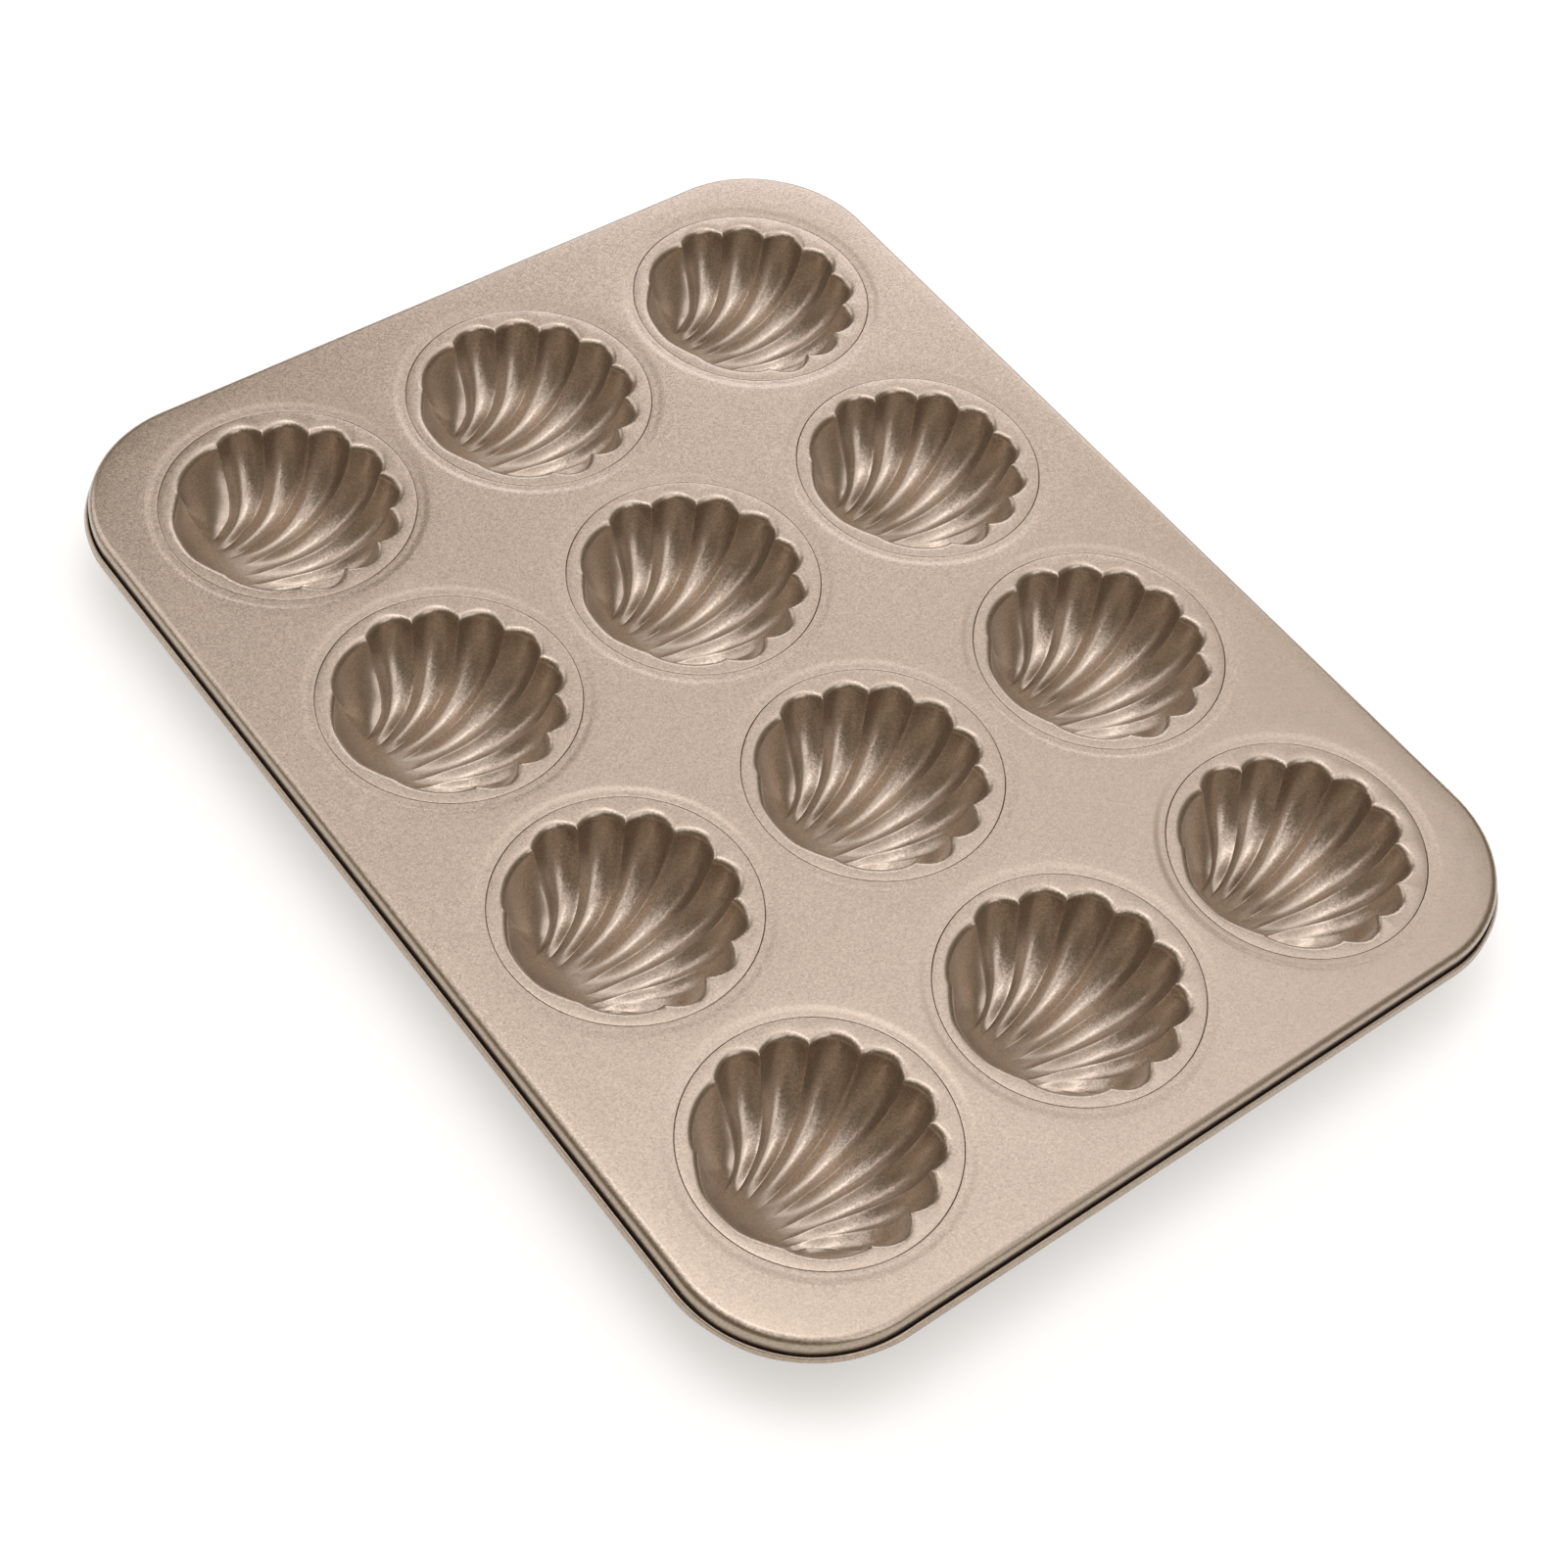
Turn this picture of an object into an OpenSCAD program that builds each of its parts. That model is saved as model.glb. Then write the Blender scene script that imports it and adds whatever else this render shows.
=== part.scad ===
// Twelve-cup shell cake pan: a flat tray with a rolled edge, and twelve
// fluted shell cups, each pressed on its own and locked into a hole of the tray.
// Millimetres, +Z up, cups open upward. The origin is the middle of the pan's
// footprint, on the surface that the cups' undersides stand on.

/* [Tray] */
// Margin between the outermost dishes and the ends of the tray, along X
margin_x = 11.65; // [5:0.05:40]
// Margin between the outermost dishes and the sides of the tray, along Y
margin_y = 12.45; // [5:0.05:40]
// Corner radius of the tray, seen from above
corner_r = 39; // [20:1:50]
// Thickness of the sheet metal, tray and cups alike
sheet = 0.8; // [0.6:0.05:1]
// Outer radius of the bend between the tray's top and its skirt
bend_r = 2.5; // [1.5:0.1:4]
// Height of the skirt, from the tray's top to the underside of its rolled edge
skirt_h = 8; // [6:0.5:14]
// Clear width of the channel inside the rolled edge
hem_gap = 1; // [0.6:0.1:2.5]
// Height of the rolled edge's lip above its own underside
hem_h = 2.2; // [2:0.1:4]
// How much lower that lip is round the corners, where the sheet is gathered
hem_drop = 0.4; // [0:0.1:0.6]

/* [Cup places] */
// Flat web between neighbouring dishes, along X
web_x = 5.8; // [1:0.1:30]
// Flat web between neighbouring dishes, along Y
web_y = 4; // [1:0.1:30]
// Turn of each cup of the front row in its hole, in degrees
clock_a = [-7, -2.5, 1, 4]; // [-15:0.5:15]
// Turn of each cup of the middle row
clock_b = [-4, -1.5, 0.5, -3]; // [-15:0.5:15]
// Turn of each cup of the back row
clock_c = [-9, -2.5, -7, -1.5]; // [-15:0.5:15]

/* [Shell cup] */
// Depth of a cup's round floor below its flange
cup_depth = 27.3; // [18:0.1:32]
// Height of the ridges between the flutes, at the bottom of the cup
ridge_h = 2; // [0.5:0.1:3]
// How far the ridges stand inside the flutes at the mouth
notch_in = 3.4; // [1:0.1:5]
// How far the smooth arc at the shell's hinge reaches beyond the front flutes
hinge_out = 0.7; // [0:0.1:1]
// Half the angle that the hinge arc spans
hinge_half = 32.5; // [25:0.5:36]
// Radius of the rounded lip between the flange and the wall of a cup
lip_r = 2.4; // [1.2:0.1:3]
// Least width of the flat flange, outside the widest lobes
land = 0.4; // [0.1:0.1:3]

/* [Locked seam] */
// Radius of the seam, which is the inner face of the collar in the tray
seam_r = 36; // [30:0.1:45]
// Depth of the collar below the cup's flange
collar_h = 4; // [3:0.1:6]
// Height of the cup's folded edge, outside the collar
fold_h = 2; // [1:0.1:2.5]
// Outer radius of the bends that meet at the seam
seam_bend = 1; // [1:0.05:1.2]
// Gap between the two sheets in the seam
seam_gap = 0.1; // [0.05:0.01:0.2]
// Width of the shallow dish in the tray, outside the seam
dish_w = 2.6; // [2.4:0.1:6]
// Width of the slope at the edge of the dish
dish_slope = 1; // [0.5:0.1:1.2]
// Depth of the dish, which is how far a cup's flange lies below the tray
dish_drop = 0.3; // [0:0.05:0.6]

/* [Hidden] */

COATING = [0.74, 0.66, 0.58];
SEAM_COATING = [0.70, 0.62, 0.54];
$fn = 96;

// Rolled edge: the radii of its round underside
hem_in = hem_gap / 2;
hem_out = hem_in + sheet;

// Seam: the cup's edge runs down inside the collar, round its end and up outside
wall_r = seam_r - seam_gap;
fold_in = sheet / 2 + seam_gap;
fold_out = fold_in + sheet;
fold_mid = seam_r + sheet / 2;

// The tray is as large as its dishes, webs and margins make it
COLUMNS = 4;
ROWS = 3;
dish_r = seam_r + dish_w;
pitch_x = 2 * dish_r + web_x;
pitch_y = 2 * dish_r + web_y;
tray_l = (COLUMNS - 1) * pitch_x + 2 * (dish_r + margin_x);
tray_w = (ROWS - 1) * pitch_y + 2 * (dish_r + margin_y);

// Angles of the ridges at the mouth, from the shell's far end round to its hinge
RIDGE_AT = [0, 27.5, 54.5, 81, 107.5, 180 - hinge_half];
// How far each ridge starts inside the front lobes, as a share of notch_in
RIDGE_IN = [1, 1, 1, 0.9, 0.35, 0.25];
// How far each lobe's crown reaches beyond the front lobes
LOBE_OUT = [0, 0, 0, 1.2, 0.3];
// How full each lobe's outline is: 1 is a plain arch, less is squarer
LOBE_FULL = [0.9, 0.9, 0.9, 0.9, 0.5];
LOBES = len(LOBE_OUT);
// Mouth radii: at the crowns of the front flutes, and at the hinge
lobe_r = wall_r - seam_bend - land - lip_r - max(LOBE_OUT);
hinge_r = lobe_r + hinge_out;

// Columns of the shell's grid, in lobes from the middle out: the flutes take
// four steps each and the smooth side lobe three
HALF_COLUMNS = concat([for (k = [0 : LOBES - 2], q = [0 : 3]) k + q / 4],
    [for (q = [0 : 3]) LOBES - 1 + q / 3]);
H = len(HALF_COLUMNS) - 1;
M = 2 * H;
// Rows of the grid, as shares of the way from the mouth to the hinge
ROWS_AT = [0, 0.12, 0.31, 0.55, 0.78, 1];
K = len(ROWS_AT) - 1;

// The flutes' way in plan: straight in from the mouth, then round to the hinge
FAN_PULL = 0.38;
FAN_SAG = 3.5;
// How late the hinge arc draws in toward the two corners of the shell
FAN_END = 6;
// How late the ways of the outer flutes bend toward those corners
SIDE_END = 12;
// How much closer the ridges lie at the hinge than an even share of its arc
FAN_NARROW = 0.6;
// Shares of the way between which the flutes fade into the smooth hinge
FADE_FROM = 0.45;
FADE_TO = 0.85;
// How much steeper than a round bowl the wall at the hinge is
HINGE_STEEP = 0.3;

// Levels: the flanges of the cups, above their lowest flutes, and the tray's top
flange_z = -min([for (p = grid_points(sheet)) p.z]);
top_z = flange_z + dish_drop;

function mix(a, b, t) = a + (b - a) * t;
function smooth(t) = t * t * (3 - 2 * t);
function polar(r, a) = [r * sin(a), r * cos(a)];

// Column j of the grid as a signed place in lobes, -LOBES to LOBES
function place(j) = j < H ? -HALF_COLUMNS[H - j] : HALF_COLUMNS[j - H];
function lobe(p) = min(floor(abs(p)), LOBES - 1);
function within(p) = abs(p) - lobe(p);
function arch(p) = sin(180 * within(p));

// Angle and radius of the mouth at a place of the fan
function fan_angle(p) = (p < 0 ? -1 : 1) * mix(RIDGE_AT[lobe(p)], RIDGE_AT[lobe(p) + 1], within(p));
function ridge_r(k) = lobe_r - notch_in * RIDGE_IN[k];
function fan_r(p) = let (low = mix(ridge_r(lobe(p)), ridge_r(lobe(p) + 1), within(p)))
    mix(low, lobe_r + LOBE_OUT[lobe(p)], pow(abs(arch(p)), LOBE_FULL[lobe(p)]));

// The mouth as a closed ring: along the fan, then back along the hinge arc
function hinge_angle(p) = let (end = abs(p) / LOBES)
    180 - hinge_half * p / LOBES * mix(FAN_NARROW, 1, pow(end, SIDE_END));
function hinge_radius(p) = let (end = abs(p) / LOBES)
    mix(hinge_r, ridge_r(LOBES), pow(end, FAN_END));
function ring_point(m, out) = m <= M ? polar(fan_r(place(m)) + out, fan_angle(place(m)))
    : polar(hinge_radius(place(2 * M - m)) + out, hinge_angle(place(2 * M - m)));
function ring(out, z) = [for (m = [0 : 2 * M - 1]) concat(ring_point(m, out), z)];

// Depth of a round bowl of mouth radius a and depth d, at radius r
function bowl(r, a, d) = let (R = (a * a + d * d) / (2 * d)) sqrt(max(R * R - r * r, 0)) - (R - d);

// A point of the shell at place p and share s of the way; out is 0 on the
// inner face and the sheet's thickness on the outer one
function way(p, s) = let (
        end = pow(abs(p) / LOBES, SIDE_END),
        a = polar(fan_r(p), fan_angle(p)),
        b = polar(hinge_radius(p), hinge_angle(p)),
        c = a * mix(FAN_PULL, 1, end) - [0, FAN_SAG * (1 - end)])
    a * (1 - s) * (1 - s) + c * 2 * s * (1 - s) + b * s * s;
function shell_point(p, s, out) = let (
        w = way(p, s),
        fade = smooth(min(1, max(0, (s - FADE_FROM) / (FADE_TO - FADE_FROM)))),
        mouth = mix(fan_r(p), hinge_radius(p), fade),
        floor_d = cup_depth - lip_r,
        depth = mix(floor_d - ridge_h * (1 - arch(p)), floor_d - ridge_h / 2, fade),
        grow = (mouth + out) / mouth,
        r = (mouth + out) * pow(norm(w) / mouth, 1 + HINGE_STEEP * fade))
    concat(w * grow, -lip_r - bowl(r, mouth + out, depth + out));

// Indices of a face of the grid; the first and last columns are single points
function rim_index(i, j) = i == 0 || j == 0 || j == M ? j : i == K ? 2 * M - j
    : 2 * M + (i - 1) * (M - 1) + j - 1;
function grid_points(out) = concat(ring(out, -lip_r),
    [for (i = [1 : K - 1], j = [1 : M - 1]) shell_point(place(j), ROWS_AT[i], out)]);
function grid_faces(first) = [for (i = [0 : K - 1], j = [0 : M - 1], half = [0, 1])
    let (a = rim_index(i, j), b = rim_index(i, j + 1), c = rim_index(i + 1, j + 1), d = rim_index(i + 1, j),
        f = half == 0 ? [a, b, c] : [a, c, d])
    if (f[0] != f[1] && f[1] != f[2] && f[0] != f[2]) [first + f[0], first + f[1], first + f[2]]];
// Strip between two rings that start at first and second
function strip(first, second) = [for (m = [0 : 2 * M - 1], half = [0, 1]) let (n = (m + 1) % (2 * M))
    half == 0 ? [first + m, first + n, second + n] : [first + m, second + n, second + m]];
function turned(faces) = [for (f = faces) [f[0], f[2], f[1]]];

// Fluted bowl with its lip, as one sheet
module bowl_sheet() {
    ring_n = 2 * M;
    grid_n = ring_n + (K - 1) * (M - 1);
    half_way = lip_r * (1 - sin(45));
    points = concat(ring(lip_r, 0), ring(half_way, -half_way), grid_points(0),
        ring(lip_r, -sheet), grid_points(sheet));
    upper = 0;
    lip = ring_n;
    upper_grid = lip + ring_n;
    lower = upper_grid + grid_n;
    lower_grid = lower + ring_n;
    faces = concat(strip(upper, lip), strip(lip, upper_grid), grid_faces(upper_grid),
        turned(strip(lower, lower_grid)), turned(grid_faces(lower_grid)),
        turned(strip(upper, lower)));
    polyhedron(points, faces);
}

// Quarter of a bent sheet: outer radius r, with its centre at the origin
module quarter_bend(r, a) {
    intersection() {
        difference() {
            circle(r);
            circle(r - sheet);
        }
        rotate(a) square(2 * r);
    }
}

// Half of a folded sheet: the round underside of a fold
module fold_round(r_in, r_out) {
    intersection() {
        difference() {
            circle(r_out);
            circle(r_in);
        }
        translate([-2 * r_out, -2 * r_out]) square([4 * r_out, 2 * r_out]);
    }
}

// Cup's flange and its folded edge, in section; z is 0 on top of the flange
module flange_section() {
    translate([0, -sheet]) square([wall_r - seam_bend, sheet]);
    translate([wall_r - seam_bend, -seam_bend]) quarter_bend(seam_bend, 0);
    translate([wall_r - sheet, -collar_h]) square([sheet, collar_h - seam_bend]);
    translate([fold_mid, -collar_h]) fold_round(fold_in, fold_out);
    translate([fold_mid + fold_in, -collar_h]) square([sheet, fold_h]);
}

module shell_cup() {
    union() {
        difference() {
            rotate_extrude() flange_section();
            translate([0, 0, -2 * sheet]) linear_extrude(3 * sheet)
                polygon([for (m = [0 : 2 * M - 1]) ring_point(m, lip_r)]);
        }
        bowl_sheet();
    }
}

// Cup at column i and row j of the tray, both counted from 0
module placed_cup(i, j, clock) {
    color(COATING) translate(cup_place(i, j)) rotate(clock[i]) shell_cup();
}
function cup_place(i, j) = [(i - (COLUMNS - 1) / 2) * pitch_x, (j - (ROWS - 1) / 2) * pitch_y, flange_z];

// Dish and collar round a hole of the tray, in section; z is 0 at the flange
module collar_section() {
    polygon([[dish_r, dish_drop], [dish_r - dish_slope, 0], [seam_r + seam_bend, 0],
        [seam_r + seam_bend, -sheet], [dish_r - dish_slope, -sheet], [dish_r, dish_drop - sheet]]);
    translate([seam_r + seam_bend, -seam_bend]) quarter_bend(seam_bend, 90);
    translate([seam_r, -collar_h]) square([sheet, collar_h - seam_bend]);
}

// Tray's edge in section: x is 0 at the outline, z is 0 at the tray's top
module edge_section(lip) {
    translate([-bend_r, -bend_r]) quarter_bend(bend_r, 0);
    translate([-sheet, hem_out - skirt_h]) square([sheet, skirt_h - bend_r - hem_out]);
    translate([hem_in, hem_out - skirt_h]) fold_round(hem_in, hem_out);
    translate([hem_gap, hem_out - skirt_h]) square([sheet, lip - hem_out - sheet / 2]);
    translate([hem_gap + sheet / 2, lip - skirt_h - sheet / 2]) circle(sheet / 2, $fn = 24);
}

module straight_edge(length) {
    rotate([90, 0, 0]) translate([0, 0, -length / 2]) linear_extrude(length) edge_section(hem_h);
}

module edge_corner() {
    rotate_extrude(angle = 90) translate([corner_r, 0]) edge_section(hem_h - hem_drop);
}

// Flat of the tray's top, inside the bend
module top_outline() {
    square([tray_l - 2 * corner_r, tray_w - 2 * bend_r], center = true);
    square([tray_l - 2 * bend_r, tray_w - 2 * corner_r], center = true);
    for (x = [-1, 1], y = [-1, 1])
        translate([x * (tray_l / 2 - corner_r), y * (tray_w / 2 - corner_r)]) circle(corner_r - bend_r);
}

module tray() {
    color(SEAM_COATING) union() {
        translate([0, 0, top_z - sheet]) linear_extrude(sheet) difference() {
            top_outline();
            for (i = [0 : COLUMNS - 1], j = [0 : ROWS - 1])
                translate([cup_place(i, j).x, cup_place(i, j).y]) circle(dish_r);
        }
        for (i = [0 : COLUMNS - 1], j = [0 : ROWS - 1])
            translate(cup_place(i, j)) rotate_extrude() collar_section();
        translate([0, 0, top_z]) tray_edge();
    }
}

module tray_edge() {
    for (side = [0, 1]) rotate(180 * side) {
        translate([tray_l / 2, 0, 0]) straight_edge(tray_w - 2 * corner_r);
        translate([0, tray_w / 2, 0]) rotate(90) straight_edge(tray_l - 2 * corner_r);
        translate([tray_l / 2 - corner_r, tray_w / 2 - corner_r, 0]) edge_corner();
        translate([corner_r - tray_l / 2, tray_w / 2 - corner_r, 0]) rotate(90) edge_corner();
    }
}

tray();
placed_cup(0, 0, clock_a);  // shell_cup_a1
placed_cup(1, 0, clock_a);  // shell_cup_a2
placed_cup(2, 0, clock_a);  // shell_cup_a3
placed_cup(3, 0, clock_a);  // shell_cup_a4
placed_cup(0, 1, clock_b);  // shell_cup_b1
placed_cup(1, 1, clock_b);  // shell_cup_b2
placed_cup(2, 1, clock_b);  // shell_cup_b3
placed_cup(3, 1, clock_b);  // shell_cup_b4
placed_cup(0, 2, clock_c);  // shell_cup_c1
placed_cup(1, 2, clock_c);  // shell_cup_c2
placed_cup(2, 2, clock_c);  // shell_cup_c3
placed_cup(3, 2, clock_c);  // shell_cup_c4
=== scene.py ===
"""Looks of a shell cake pan: twelve fluted cups locked into a flat tray with a
rolled edge, under a champagne-coloured metallic coating. Lengths are in
millimetres until a mesh is made; the frame is that of the CAD part."""

import math

import bmesh
import bpy
import numpy as np
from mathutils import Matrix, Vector
from mathutils.geometry import delaunay_2d_cdt


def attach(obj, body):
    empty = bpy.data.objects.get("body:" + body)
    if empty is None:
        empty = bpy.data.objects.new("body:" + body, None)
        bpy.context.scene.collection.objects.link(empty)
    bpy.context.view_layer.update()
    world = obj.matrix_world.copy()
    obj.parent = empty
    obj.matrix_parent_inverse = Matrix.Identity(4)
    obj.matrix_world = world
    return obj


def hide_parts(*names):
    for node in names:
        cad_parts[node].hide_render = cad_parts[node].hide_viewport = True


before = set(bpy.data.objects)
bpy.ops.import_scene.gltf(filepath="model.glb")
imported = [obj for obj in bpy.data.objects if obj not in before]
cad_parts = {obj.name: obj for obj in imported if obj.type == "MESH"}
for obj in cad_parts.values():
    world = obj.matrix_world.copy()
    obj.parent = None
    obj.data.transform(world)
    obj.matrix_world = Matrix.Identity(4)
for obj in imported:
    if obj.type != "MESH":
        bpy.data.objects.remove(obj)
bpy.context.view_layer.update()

MM = 0.001

# The tray: as in the CAD part, but for a softer dish and a roll that leans and is gathered
TRAY_L, TRAY_W, CORNER_R = 349.5, 264.5, 39.0
SHEET = 0.8
BEND_R = 2.5
SKIRT_H = 8.0
HEM_GAP, HEM_H = 1.0, 2.9
HEM_LEAN = 0.42            # the gap at the tip of the roll, as a share of the gap at its foot
GATHER = 0.22              # share of a corner over which the roll is gathered at each end
PINCH_GAP, PINCH_H = 0.3, 0.4              # how much narrower and lower the roll is in a corner
WAVES, WAVE_GAP, WAVE_H = 3, 0.06, 0.1     # and how wavy
FLANGE_Z = 27.8077
TOP_Z = 28.1077
DISH_R, DISH_SLOPE = 40.0, 2.7
DISH_DROP = TOP_Z - FLANGE_Z

# Cups: places, turns in degrees, rows a to c from the front
PITCH_X, PITCH_Y = 83.0, 81.2
TURNS = {"a": (-7, -2.5, 1, 4), "b": (-4, -1.5, 0.5, -3), "c": (-9, -2.5, -7, -1.5)}

# Shell: depth, ridges and the outline of the mouth
CUP_DEPTH, RIDGE_H = 27.2, 2.4
LIP_R = 2.4
LOBE_R, NOTCH_IN = 30.9, 3.4
HINGE_R, HINGE_HALF = 31.6, 32.5
RIDGE_AT = np.array([0, 27.5, 54.5, 81, 107.5, 180 - HINGE_HALF])
RIDGE_IN = np.array([1, 1, 1, 0.9, 0.35, 0.25])
LOBE_OUT = np.array([0, 0, 0, 1.2, 0.3])
LOBE_FULL = np.array([0.9, 0.9, 0.9, 0.9, 0.5])
LOBES = 5
FAN_PULL, FAN_SAG, FAN_END, SIDE_END, FAN_NARROW = 0.38, 3.5, 6, 12, 0.6
FADE_FROM, FADE_TO, HINGE_STEEP = 0.52, 0.76, 0.3
RIDGE_SOFT = 0.06          # how round the ridges are, as a share of a flute
SIDE_RISE = 1.2            # how much shallower the smooth side lobes are than the flutes

# Seam between a cup and the tray
SEAM_R, SEAM_GAP = 36.0, 0.06
COLLAR_H, FOLD_H = 4.0, 2.0
SEAM_BEND = 0.22           # outer radius of the two bends that meet at the seam
WALL_RINGS = 1.2, 2.6      # depths of two rings on the walls of the seam
EDGE_CUT, INNER_CUT = 0.1, 0.2    # small cuts at the fold's edge and inside the bends

# Fineness of the meshes
FLUTE_STEPS = 12
SHELL_ROWS, ROW_CROWDING = 36, 0.6
LIP_STEPS = 6
BEND_STEPS = 8
SEAM_STEPS = 4
SLOPE_STEPS = 6
TIP_STEPS = 6
HOLE_STEPS = 240
CORNER_STEPS, SIDE_STEPS = 48, 41
FLAT_STEP = 5.0
SHARP_FROM = 40            # degrees between the faces of a sharp edge
CHANNEL_RINGS = BEND_STEPS + 3, 2 * BEND_STEPS + 4    # the rings of the edge inside the roll, whose faces get the near-black painted shade


# ---------------------------------------------------------------- meshes

class SheetMesh:
    """Points and faces of one closed piece of sheet metal."""

    def __init__(self):
        self.points = []
        self.faces = []
        self.painted_shade_faces = set()      # numbers of the faces that get the second material, the painted shade inside the roll

    def add(self, points):
        """Adds an n by 3 array and returns the points' numbers."""
        first = len(self.points)
        self.points.extend(map(tuple, points))
        return np.arange(first, len(self.points))

    def bridge(self, a, b):
        """Joins two closed rings of the same length with quads."""
        n = len(a)
        for m in range(n):
            k = (m + 1) % n
            self.faces.append((a[m], a[k], b[k], b[m]))

    def sweep(self, start, rings):
        """Bridges from a ring through new rings and returns the last one."""
        for points in rings:
            ring = self.add(points)
            self.bridge(start, ring)
            start = ring
        return start

    def build(self, name):
        """The mesh object, in metres, smooth but for its sharp edges."""
        bm = bmesh.new()
        verts = [bm.verts.new(Vector(p) * MM) for p in self.points]
        for number, face in enumerate(self.faces):
            corners = list(dict.fromkeys(int(i) for i in face))
            if len(corners) > 2:
                made = bm.faces.new([verts[i] for i in corners])
                made.material_index = int(number in self.painted_shade_faces)
        bmesh.ops.recalc_face_normals(bm, faces=bm.faces)
        mesh = bpy.data.meshes.new(name)
        bm.to_mesh(mesh)
        bm.free()
        mesh.shade_smooth()
        mesh.set_sharp_from_angle(angle=math.radians(SHARP_FROM))
        piece = bpy.data.objects.new(name, mesh)
        bpy.context.scene.collection.objects.link(piece)
        return piece


def arc(centre, radius, start, end, steps):
    """Points of an arc in a section (x outward, z up), angles in degrees."""
    angles = np.radians(np.linspace(start, end, steps + 1))
    return [(centre[0] + radius * math.cos(a), centre[1] + radius * math.sin(a)) for a in angles]


def mix(a, b, t):
    """From a to b as t goes from 0 to 1."""
    return a + (b - a) * t


def smooth(t):
    """0 to 1 with a soft start and end."""
    return t * t * (3 - 2 * t)


def polar(r, degrees):
    """Points at a clockwise angle from +Y."""
    a = np.radians(degrees)
    return np.stack([r * np.sin(a), r * np.cos(a)], -1)


# ---------------------------------------------------------------- shell cups

def lobe_of(p):
    """Number of the lobe at place p, and the share of its width."""
    k = np.minimum(np.floor(np.abs(p)), LOBES - 1).astype(int)
    return k, np.abs(p) - k


def arch(p):
    """0 on a ridge and 1 in the middle of a flute, with the ridge rounded."""
    wave = np.sin(np.pi * lobe_of(p)[1])
    return (np.sqrt(wave ** 2 + RIDGE_SOFT ** 2) - RIDGE_SOFT) / (math.sqrt(1 + RIDGE_SOFT ** 2) - RIDGE_SOFT)


def ridge_r(k):
    """Mouth radius at ridge k."""
    return LOBE_R - NOTCH_IN * RIDGE_IN[k]


def fan_angle(p):
    """Angle of place p on the fluted side of the mouth."""
    k, u = lobe_of(p)
    return np.sign(p) * mix(RIDGE_AT[k], RIDGE_AT[k + 1], u)


def fan_r(p):
    """Mouth radius at place p on the fluted side."""
    k, u = lobe_of(p)
    return mix(mix(ridge_r(k), ridge_r(k + 1), u), LOBE_R + LOBE_OUT[k], arch(p) ** LOBE_FULL[k])


def hinge_angle(p):
    """Angle on the hinge where the flute from place p ends."""
    return 180 - HINGE_HALF * p / LOBES * mix(FAN_NARROW, 1, (np.abs(p) / LOBES) ** SIDE_END)


def hinge_radius(p):
    """Mouth radius on the hinge where the flute from place p ends."""
    return mix(HINGE_R, ridge_r(LOBES), (np.abs(p) / LOBES) ** FAN_END)


def bowl(r, mouth, depth):
    """Depth of a round bowl at radius r."""
    big = (mouth ** 2 + depth ** 2) / (2 * depth)
    return np.sqrt(np.maximum(big ** 2 - r ** 2, 0)) - (big - depth)


def shell_points(p, s, out):
    """Points of the shell at places p and shares s; out is 0 on its inner face."""
    end = (np.abs(p) / LOBES) ** SIDE_END
    a = polar(fan_r(p), fan_angle(p))
    b = polar(hinge_radius(p), hinge_angle(p))
    c = a * mix(FAN_PULL, 1, end)[..., None]
    c[..., 1] -= FAN_SAG * (1 - end)
    t = s[..., None]
    w = a * (1 - t) ** 2 + c * 2 * t * (1 - t) + b * t * t
    fade = smooth(np.clip((s - FADE_FROM) / (FADE_TO - FADE_FROM), 0, 1))
    mouth = mix(fan_r(p), hinge_radius(p), fade)
    floor_d = CUP_DEPTH - LIP_R
    side = SIDE_RISE * arch(p) * (np.abs(p) > LOBES - 1)
    depth = mix(floor_d - RIDGE_H * (1 - arch(p)) - side, floor_d - RIDGE_H / 2, fade)
    grow = (mouth + out) / mouth
    r = (mouth + out) * (np.linalg.norm(w, axis=-1) / mouth) ** (1 + HINGE_STEEP * fade)
    z = -LIP_R - bowl(r, mouth + out, depth + out)
    return np.concatenate([w * grow[..., None], z[..., None]], -1)


def fan_places():
    """Places across the fan, closer together at the ridges."""
    within = (1 - np.cos(np.pi * np.arange(FLUTE_STEPS) / FLUTE_STEPS)) / 2
    half = np.concatenate([k + within for k in range(LOBES)] + [[LOBES]])
    return np.concatenate([-half[:0:-1], half])


def mouth_ring(places, out, z):
    """The mouth as a closed ring: along the fan, then back along the hinge."""
    back = places[-2:0:-1]
    fan = polar(fan_r(places) + out, fan_angle(places))
    hinge = polar(hinge_radius(back) + out, hinge_angle(back))
    flat = np.concatenate([fan, hinge])
    return np.column_stack([flat, np.full(len(flat), z)])


def round_ring(places, r, z):
    """A circle with its points at the angles of the mouth's points."""
    back = places[-2:0:-1]
    flat = polar(np.full(2 * len(places) - 2, r), np.concatenate([fan_angle(places), hinge_angle(back)]))
    return np.column_stack([flat, np.full(len(flat), z)])


def add_shell_face(sheet, places, out, ring):
    """Fills a mouth ring with the fluted face of the shell."""
    t = np.linspace(0, 1, SHELL_ROWS + 1)
    shares = mix(t, (1 - np.cos(np.pi * t)) / 2, ROW_CROWDING)
    last = len(places) - 1
    grid = np.empty((last + 1, SHELL_ROWS + 1), int)
    grid[:, 0] = ring[:last + 1]
    grid[:, -1] = [ring[(2 * last - j) % len(ring)] for j in range(last + 1)]
    grid[0, :], grid[last, :] = ring[0], ring[last]
    p, s = np.meshgrid(places[1:-1], shares[1:-1], indexing="ij")
    inner = sheet.add(shell_points(p, s, out).reshape(-1, 3))
    grid[1:-1, 1:-1] = inner.reshape(p.shape)
    for j in range(last):
        for i in range(SHELL_ROWS):
            sheet.faces.append((grid[j, i], grid[j + 1, i], grid[j + 1, i + 1], grid[j, i + 1]))


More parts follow.
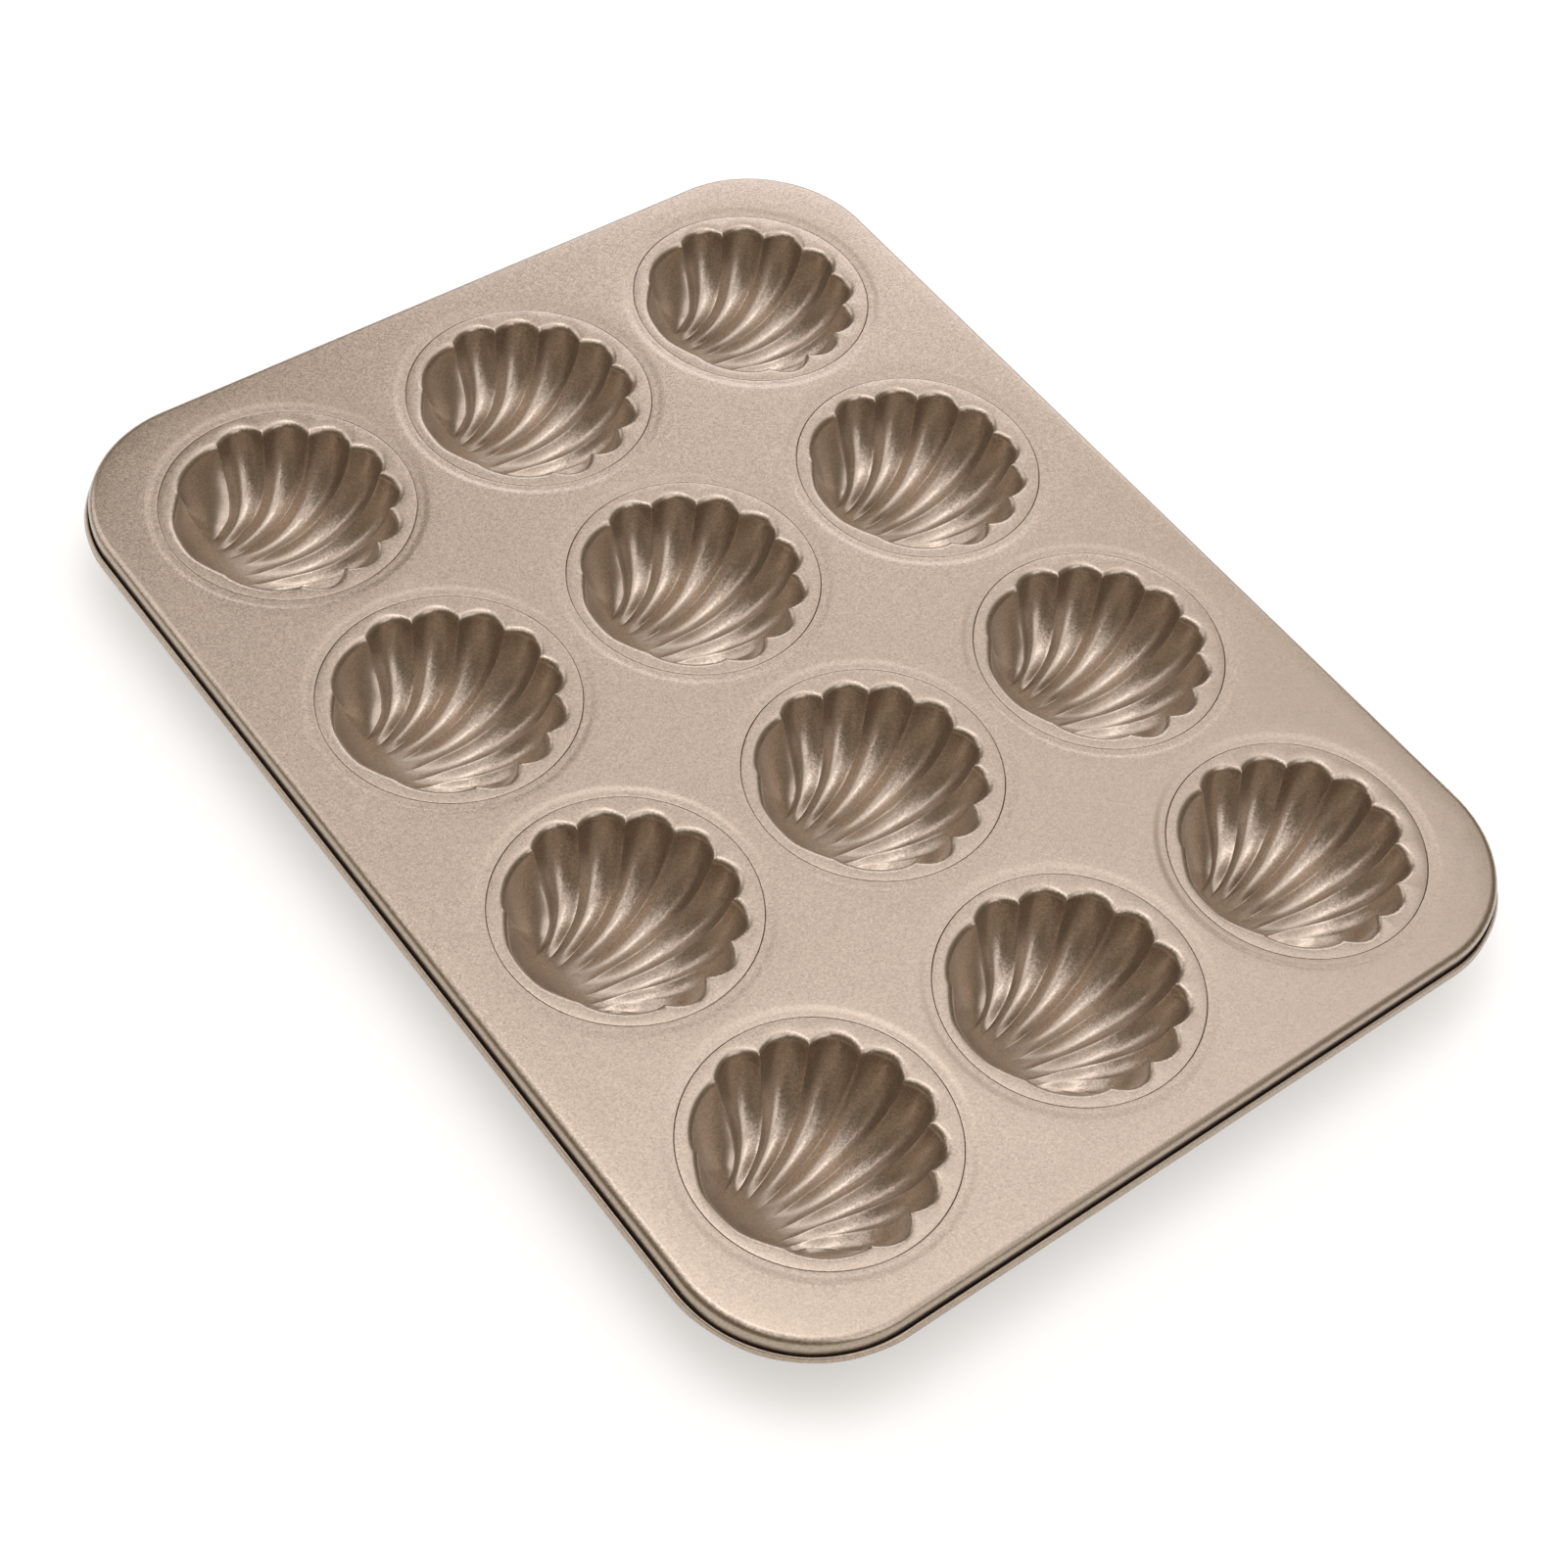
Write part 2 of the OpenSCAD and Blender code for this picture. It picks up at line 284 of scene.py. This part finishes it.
def cup_edge_section():
    """Section of a cup outside its mouth, from the flange's top round to its underside."""
    wall = SEAM_R - SEAM_GAP
    middle = SEAM_R + SHEET / 2
    fold_in = SHEET / 2 + SEAM_GAP
    fold_out = fold_in + SHEET
    fold_top = FOLD_H - COLLAR_H
    inner = wall - SHEET
    return (arc((wall - SEAM_BEND, -SEAM_BEND), SEAM_BEND, 90, 0, SEAM_STEPS)
            + [(wall, -depth) for depth in WALL_RINGS]
            + arc((middle, -COLLAR_H), fold_in, 180, 360, BEND_STEPS)
            + [(middle + fold_in, fold_top - EDGE_CUT), (middle + fold_in + EDGE_CUT, fold_top),
               (middle + fold_out - EDGE_CUT, fold_top), (middle + fold_out, fold_top - EDGE_CUT)]
            + arc((middle, -COLLAR_H), fold_out, 0, -180, BEND_STEPS)
            + [(inner, -WALL_RINGS[1]), (inner, -SHEET - INNER_CUT), (inner - INNER_CUT, -SHEET)])


def make_cup(name, centre, turn):
    """One shell cup as a closed sheet, set in its hole."""
    sheet = SheetMesh()
    places = fan_places()
    upper = sheet.add(mouth_ring(places, 0, -LIP_R))
    add_shell_face(sheet, places, 0, upper)
    lip = [mouth_ring(places, LIP_R * (1 - math.cos(a)), LIP_R * (math.sin(a) - 1))
           for a in np.radians(np.linspace(0, 90, LIP_STEPS + 1)[1:])]
    edge = [round_ring(places, r, z) for r, z in cup_edge_section()]
    under = [mouth_ring(places, LIP_R, -SHEET),
             mouth_ring(places, mix(LIP_R, SHEET, 0.6), mix(-SHEET, -LIP_R, 0.4))]
    last = sheet.sweep(upper, lip + edge + under)
    lower = sheet.add(mouth_ring(places, SHEET, -LIP_R))
    sheet.bridge(last, lower)
    add_shell_face(sheet, places, SHEET, lower)
    c, s = math.cos(math.radians(turn)), math.sin(math.radians(turn))
    spin = np.array([[c, s, 0], [-s, c, 0], [0, 0, 1]])
    sheet.points = [tuple(p) for p in np.array(sheet.points) @ spin + np.array(centre)]
    return sheet.build(name)


def cup_centre(column, row):
    """Middle of a cup on the top of its flange."""
    return ((column - 1.5) * PITCH_X, (row - 1) * PITCH_Y, FLANGE_Z)


# ---------------------------------------------------------------- tray

def outline_loop():
    """Base points and outward directions along the tray's outline, and how far
    along its corner each is: from 0 to 1, or -1 on the straights."""
    points, outward, corner = [], [], []
    half_x, half_y = TRAY_L / 2 - CORNER_R, TRAY_W / 2 - CORNER_R
    signs = (1, 1), (-1, 1), (-1, -1), (1, -1)
    for quarter, (sx, sy) in enumerate(signs):
        for a in np.linspace(0, 90, CORNER_STEPS + 1):
            d = math.radians(90 * quarter + a)
            n = np.array([math.cos(d), math.sin(d)])
            points.append(np.array([sx * half_x, sy * half_y]) + CORNER_R * n)
            outward.append(n)
            corner.append(a / 90)
        next_x, next_y = signs[(quarter + 1) % 4]
        start, stop = points[-1], np.array([next_x * half_x, next_y * half_y]) + CORNER_R * outward[-1]
        for t in np.linspace(0, 1, SIDE_STEPS + 1)[1:-1]:
            points.append(mix(start, stop, t))
            outward.append(outward[-1])
            corner.append(-1)
    return np.array(points), np.array(outward), np.array(corner, float)


def hem_section(gap, lip):
    """Section of the tray's edge from the bend on top, round the hem and back
    up inside. x is 0 at the outline and z is 0 at the tray's top."""
    hem_in = gap / 2
    hem_out = hem_in + SHEET
    low = HEM_GAP / 2 + SHEET - SKIRT_H
    tip = lip - SKIRT_H - SHEET / 2
    return (arc((-BEND_R, -BEND_R), BEND_R, 90, 0, BEND_STEPS)
            + [(0, mix(-BEND_R, low, 0.35)), (0, tip)]
            + arc((hem_in, low), hem_in, 180, 360, BEND_STEPS)
            + arc((HEM_LEAN * gap + SHEET / 2, tip), SHEET / 2, 180, 0, TIP_STEPS)
            + arc((hem_in, low), hem_out, 0, -180, BEND_STEPS)
            + [(-SHEET, mix(-BEND_R, low, 0.7)), (-SHEET, mix(-BEND_R, low, 0.35))]
            + arc((-BEND_R, -BEND_R), BEND_R - SHEET, 0, 90, BEND_STEPS))


def corner_share(c):
    """How much the hem is gathered: 0 on the straights, full inside a corner."""
    if c < 0:
        return 0.0
    return smooth(min(1.0, c / GATHER, (1 - c) / GATHER))


def edge_rings(base, outward, corner):
    """The edge as rings along the outline: gathered, lower and wavy round corners."""
    sections = []
    for c in corner:
        g = corner_share(c)
        wave = math.sin(c * 2 * math.pi * WAVES) if c > 0 else 0
        sections.append(hem_section(HEM_GAP - PINCH_GAP * g + WAVE_GAP * g * wave,
                                    HEM_H - PINCH_H * g + WAVE_H * g * wave))
    sections = np.array(sections)
    rings = []
    for k in range(sections.shape[1]):
        flat = base + outward * sections[:, k, 0:1]
        rings.append(np.column_stack([flat, TOP_Z + sections[:, k, 1]]))
    return rings


def hole_section():
    """Section of a hole's rim from the tray's top, down the dish and the collar
    and back to the tray's underside. x is the radius and z is 0 at the top."""
    slope = [(DISH_R - DISH_SLOPE * t, -DISH_DROP * smooth(t)) for t in np.linspace(0, 1, SLOPE_STEPS + 1)]
    down = arc((SEAM_R + SEAM_BEND, -DISH_DROP - SEAM_BEND), SEAM_BEND, 90, 180, SEAM_STEPS)
    outer = SEAM_R + SHEET
    end = -DISH_DROP - COLLAR_H
    under = -DISH_DROP - SHEET
    collar = ([(SEAM_R, -DISH_DROP - depth) for depth in WALL_RINGS]
              + [(SEAM_R, end), (outer, end), (outer, -DISH_DROP - WALL_RINGS[1]),
                 (outer, under - INNER_CUT), (outer + INNER_CUT, under)])
    return slope + down + collar + [(x, z - SHEET) for x, z in slope[::-1]]


def circle(centre, r, z):
    """A level ring round a hole."""
    a = 2 * np.pi * np.arange(HOLE_STEPS) / HOLE_STEPS
    return np.column_stack([centre[0] + r * np.cos(a), centre[1] + r * np.sin(a), np.full(HOLE_STEPS, z)])


def flat_points(centres, z):
    """A loose grid of points on the flat, clear of the holes and the bend."""
    half_x, half_y = TRAY_L / 2 - BEND_R, TRAY_W / 2 - BEND_R
    grid = []
    for x in np.arange(-half_x + FLAT_STEP, half_x - FLAT_STEP / 2, FLAT_STEP):
        for y in np.arange(-half_y + FLAT_STEP, half_y - FLAT_STEP / 2, FLAT_STEP):
            over = max(abs(x) - half_x + CORNER_R, 0), max(abs(y) - half_y + CORNER_R, 0)
            if math.hypot(*over) > CORNER_R - FLAT_STEP / 2:
                continue
            if all(math.hypot(x - c[0], y - c[1]) > DISH_R + FLAT_STEP / 3 for c in centres):
                grid.append((x, y, z))
    return np.array(grid)


def add_flat(sheet, loops, centres, z):
    """Fills the flat between the outline and the holes with triangles."""
    numbers = np.concatenate(loops + [sheet.add(flat_points(centres, z))])
    flat = [Vector(sheet.points[i][:2]) for i in numbers]
    edges, first = [], 0
    for loop in loops:
        n = len(loop)
        edges += [(first + m, first + (m + 1) % n) for m in range(n)]
        first += n
    hole_of = {int(i): hole for hole, loop in enumerate(loops[1:]) for i in loop}
    faces, origins = delaunay_2d_cdt(flat, edges, [], 0, 1e-6)[2:4]
    for face in faces:
        corners = [int(numbers[origins[i][0]]) for i in face]
        holes = {hole_of.get(i, -1) for i in corners}
        if len(holes) > 1 or holes == {-1}:
            sheet.faces.append(corners)


def make_tray(name, centres):
    """The tray as a closed sheet: its flat, rolled edge and twelve holes."""
    sheet = SheetMesh()
    base, outward, corner = outline_loop()
    rings = edge_rings(base, outward, corner)
    outer_top = sheet.add(rings[0])
    channel_start = sheet.sweep(outer_top, rings[1:CHANNEL_RINGS[0]])
    # the faces inside the roll get the near-black painted shade instead of the coating
    first = len(sheet.faces)
    channel_end = sheet.sweep(channel_start, rings[CHANNEL_RINGS[0]:CHANNEL_RINGS[1]])
    sheet.painted_shade_faces = set(range(first, len(sheet.faces)))
    outer_low = sheet.sweep(channel_end, rings[CHANNEL_RINGS[1]:])
    tops, lows = [outer_top], [outer_low]
    for centre in centres:
        section = hole_section()
        start = sheet.add(circle(centre, section[0][0], TOP_Z + section[0][1]))
        tops.append(start)
        lows.append(sheet.sweep(start, [circle(centre, r, TOP_Z + z) for r, z in section[1:]]))
    add_flat(sheet, tops, centres, TOP_Z)
    add_flat(sheet, lows, centres, TOP_Z - SHEET)
    return sheet.build(name)


# ---------------------------------------------------------------- materials

COAT_TONES = (0.34, 0.265, 0.192), (0.37, 0.289, 0.21)
COAT_METAL, COAT_ROUGH = 0.9, 0.34
CLEAR_LAYER, CLEAR_ROUGH = 0.9, 0.22
FLAKES_PER_M, FLAKE_TILT = 2600.0, 0.09
FLAKE_DARK, FLAKE_LIGHT = 0.74, 1.26
CLOUDS_PER_M, PATCHES_PER_M, FIBRES_PER_M = 45.0, 300.0, 30.0
# near-black tones that paint the shade inside the rolled edge
CHANNEL_SHADE_TONES = (0.012, 0.009, 0.007), (0.03, 0.022, 0.016)
CHANNEL_ROUGH = 0.7
FLOOR_TONES = (0.55, 0.538, 0.484), (0.57, 0.557, 0.502)
FLOOR_LIFT = 0.45          # what the camera and reflections see of the floor on top of its own light


def new_material(name):
    """A material, its nodes, its links, its shader and the object's coordinates."""
    material = bpy.data.materials.new(name)
    material.use_nodes = True
    nodes = material.node_tree.nodes
    place = nodes.new("ShaderNodeTexCoord").outputs["Object"]
    return material, nodes, material.node_tree.links, nodes["Principled BSDF"], place


def noise(nodes, links, place, scale, **values):
    """The value of a noise texture."""
    made = nodes.new("ShaderNodeTexNoise")
    made.inputs["Scale"].default_value = scale
    for key, value in values.items():
        made.inputs[key].default_value = value
    links.new(place, made.inputs["Vector"])
    return made.outputs["Fac"]


def two_tone(nodes, links, factor, tones):
    """A colour between two tones."""
    made = nodes.new("ShaderNodeMix")
    made.data_type = "RGBA"
    made.inputs["A"].default_value = (*tones[0], 1)
    made.inputs["B"].default_value = (*tones[1], 1)
    links.new(factor, made.inputs["Factor"])
    return made.outputs["Result"]


def vector_step(nodes, links, operation, vector):
    """A vector math node that starts from a vector."""
    made = nodes.new("ShaderNodeVectorMath")
    made.operation = operation
    links.new(vector, made.inputs[0])
    return made


def flake_normal(nodes, links, flakes):
    """The surface's normal, tilted a little by each flake."""
    tilt = vector_step(nodes, links, "SUBTRACT", flakes)
    tilt.inputs[1].default_value = (0.5, 0.5, 0.5)
    small = vector_step(nodes, links, "SCALE", tilt.outputs["Vector"])
    small.inputs["Scale"].default_value = FLAKE_TILT
    surface = nodes.new("ShaderNodeNewGeometry")
    turned = vector_step(nodes, links, "ADD", surface.outputs["Normal"])
    links.new(small.outputs["Vector"], turned.inputs[1])
    return vector_step(nodes, links, "NORMALIZE", turned.outputs["Vector"]).outputs["Vector"]


def coating_material():
    """Metallic champagne coating: fine flakes that each face their own way,
    and a thin clear layer above them."""
    material, nodes, links, shader, place = new_material("champagne_coating")
    cells = nodes.new("ShaderNodeTexVoronoi")
    cells.inputs["Scale"].default_value = FLAKES_PER_M
    links.new(place, cells.inputs["Vector"])
    flakes = cells.outputs["Color"]
    links.new(flake_normal(nodes, links, flakes), shader.inputs["Normal"])

    cloud = noise(nodes, links, place, CLOUDS_PER_M, Detail=3.0, Roughness=0.6)
    grain = nodes.new("ShaderNodeMapRange")
    grain.inputs["To Min"].default_value = FLAKE_DARK
    grain.inputs["To Max"].default_value = FLAKE_LIGHT
    links.new(flakes, grain.inputs["Value"])
    flecked = vector_step(nodes, links, "SCALE", two_tone(nodes, links, cloud, COAT_TONES))
    links.new(grain.outputs["Result"], flecked.inputs["Scale"])
    links.new(flecked.outputs["Vector"], shader.inputs["Base Color"])

    shader.inputs["Metallic"].default_value = COAT_METAL
    shader.inputs["Roughness"].default_value = COAT_ROUGH
    shader.inputs["Coat Weight"].default_value = CLEAR_LAYER
    shader.inputs["Coat Roughness"].default_value = CLEAR_ROUGH
    return material


def channel_shade_material():
    """Near-black painted shade for the sheet inside the rolled edge, where the deep channel lies in shade."""
    material, nodes, links, shader, place = new_material("painted_shade_hem_channel")
    patches = noise(nodes, links, place, PATCHES_PER_M, Detail=3.0)
    links.new(two_tone(nodes, links, patches, CHANNEL_SHADE_TONES), shader.inputs["Base Color"])
    shader.inputs["Roughness"].default_value = CHANNEL_ROUGH
    return material


def floor_material():
    """Pale paper that is a little lighter to the camera and in reflections."""
    material, nodes, links, shader, place = new_material("studio_floor")
    paper = noise(nodes, links, place, FIBRES_PER_M, Detail=2.0)
    links.new(two_tone(nodes, links, paper, FLOOR_TONES), shader.inputs["Base Color"])
    shader.inputs["Roughness"].default_value = 1.0
    shader.inputs["Specular IOR Level"].default_value = 0.0
    rays = nodes.new("ShaderNodeLightPath")
    seen, lift = nodes.new("ShaderNodeMath"), nodes.new("ShaderNodeMath")
    seen.operation, lift.operation = "MAXIMUM", "MULTIPLY"
    links.new(rays.outputs["Is Camera Ray"], seen.inputs[0])
    links.new(rays.outputs["Is Glossy Ray"], seen.inputs[1])
    links.new(seen.outputs["Value"], lift.inputs[0])
    lift.inputs[1].default_value = FLOOR_LIFT
    links.new(lift.outputs["Value"], shader.inputs["Emission Strength"])
    shader.inputs["Emission Color"].default_value = (1, 1, 1, 1)
    return material


# ---------------------------------------------------------------- studio

CAMERA_AT = (0.379961, -0.353574, 0.650028)
CAMERA_TURN = (0.841016, 0.310744, 0.094245, 0.432723)
CAMERA_LENS, CAMERA_SENSOR = 67.375, 36.0
CAMERA_SHIFT = (-0.04851, 0.00075)
CAMERA_CLIP = 0.01, 50
DAYLIGHT = (0.88, 0.9, 1.0)
SOFTBOXES = (              # name, place, the point it looks at, size, watts
    ("overhead", (-0.07, 0.05, 1.1), (-0.07, 0.05, 0), (1.95, 1.9), 14.9),
    ("key", (0.1, 0.35, 1.05), (0.1, 0.35, 0), (0.9, 1.3), 2.6),
    ("zenith", (-0.1, -0.15, 1.0), (-0.1, -0.15, 0), (0.5, 0.5), 1.6),
    ("backdrop", (-0.9, 0.95, 0.6), (0, 0, 0), (1.2, 0.7), 6.6),
    ("side_far", (-1.1, -0.69, 0.75), (0, 0, 0), (1.1, 0.9), 5.4),
    ("side_near", (1.25, 0.1, 0.85), (0, 0, 0), (0.9, 0.9), 5.4),
)
ROOM_COLOUR, ROOM_LEVEL = (1, 0.8, 0.5, 1), 0.2
FLOOR_HALF, FLOOR_BELOW = 2.5, 0.0002


def make_camera():
    """The camera that was fitted to the photo."""
    data = bpy.data.cameras.new("photo_camera")
    data.lens, data.sensor_width = CAMERA_LENS, CAMERA_SENSOR
    data.shift_x, data.shift_y = CAMERA_SHIFT
    data.clip_start, data.clip_end = CAMERA_CLIP
    camera = bpy.data.objects.new("photo_camera", data)
    camera.rotation_mode = "QUATERNION"
    camera.location, camera.rotation_quaternion = CAMERA_AT, CAMERA_TURN
    bpy.context.scene.collection.objects.link(camera)
    bpy.context.scene.camera = camera


def softbox(name, at, aim, size, watts):
    """A rectangular area light that looks at a point."""
    data = bpy.data.lights.new(name, "AREA")
    data.shape, data.size, data.size_y = "RECTANGLE", size[0], size[1]
    data.energy = watts
    data.color = DAYLIGHT
    light = bpy.data.objects.new(name, data)
    light.location = at
    light.rotation_mode = "QUATERNION"
    light.rotation_quaternion = (Vector(aim) - Vector(at)).to_track_quat("-Z", "Y")
    bpy.context.scene.collection.objects.link(light)


def make_world():
    """A dim warm room that the camera sees as white."""
    world = bpy.data.worlds.new("studio")
    bpy.context.scene.world = world
    world.use_nodes = True
    nodes, links = world.node_tree.nodes, world.node_tree.links
    nodes.clear()
    choose = nodes.new("ShaderNodeMixShader")
    rays = nodes.new("ShaderNodeLightPath")
    links.new(rays.outputs["Is Camera Ray"], choose.inputs["Fac"])
    for number, colour, level in ((1, ROOM_COLOUR, ROOM_LEVEL), (2, (1, 1, 1, 1), 1.0)):
        light = nodes.new("ShaderNodeBackground")
        light.inputs["Color"].default_value = colour
        light.inputs["Strength"].default_value = level
        links.new(light.outputs["Background"], choose.inputs[number])
    out = nodes.new("ShaderNodeOutputWorld")
    links.new(choose.outputs["Shader"], out.inputs["Surface"])


def make_floor():
    """A flat floor just under the cups."""
    bm = bmesh.new()
    bmesh.ops.create_grid(bm, x_segments=1, y_segments=1, size=FLOOR_HALF)
    mesh = bpy.data.meshes.new("studio_floor")
    bm.to_mesh(mesh)
    bm.free()
    floor = bpy.data.objects.new("studio_floor", mesh)
    floor.location.z = -FLOOR_BELOW
    mesh.materials.append(floor_material())
    bpy.context.scene.collection.objects.link(floor)


# ---------------------------------------------------------------- the pan

def dress(piece, cad_node, material):
    """Puts a piece in the place of its CAD node."""
    piece.data.materials.append(material)
    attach(piece, "root")
    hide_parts(cad_node)


def main():
    coating = coating_material()
    centres = []
    for row, letter in enumerate("abc"):
        for column in range(4):
            centre = cup_centre(column, row)
            centres.append(centre)
            cup = f"{letter}{column + 1}"
            dress(make_cup(f"cup_{cup}", centre, TURNS[letter][column]), f"shell_cup_{cup}", coating)
    tray = make_tray("tray_sheet", centres)
    dress(tray, "tray", coating)
    # the tray's second material paints the shade inside the rolled edge
    tray.data.materials.append(channel_shade_material())
    make_floor()
    make_world()
    for box in SOFTBOXES:
        softbox(*box)
    make_camera()
    bpy.context.scene.view_settings.view_transform = "Standard"


main()
bpy.context.view_layer.update()
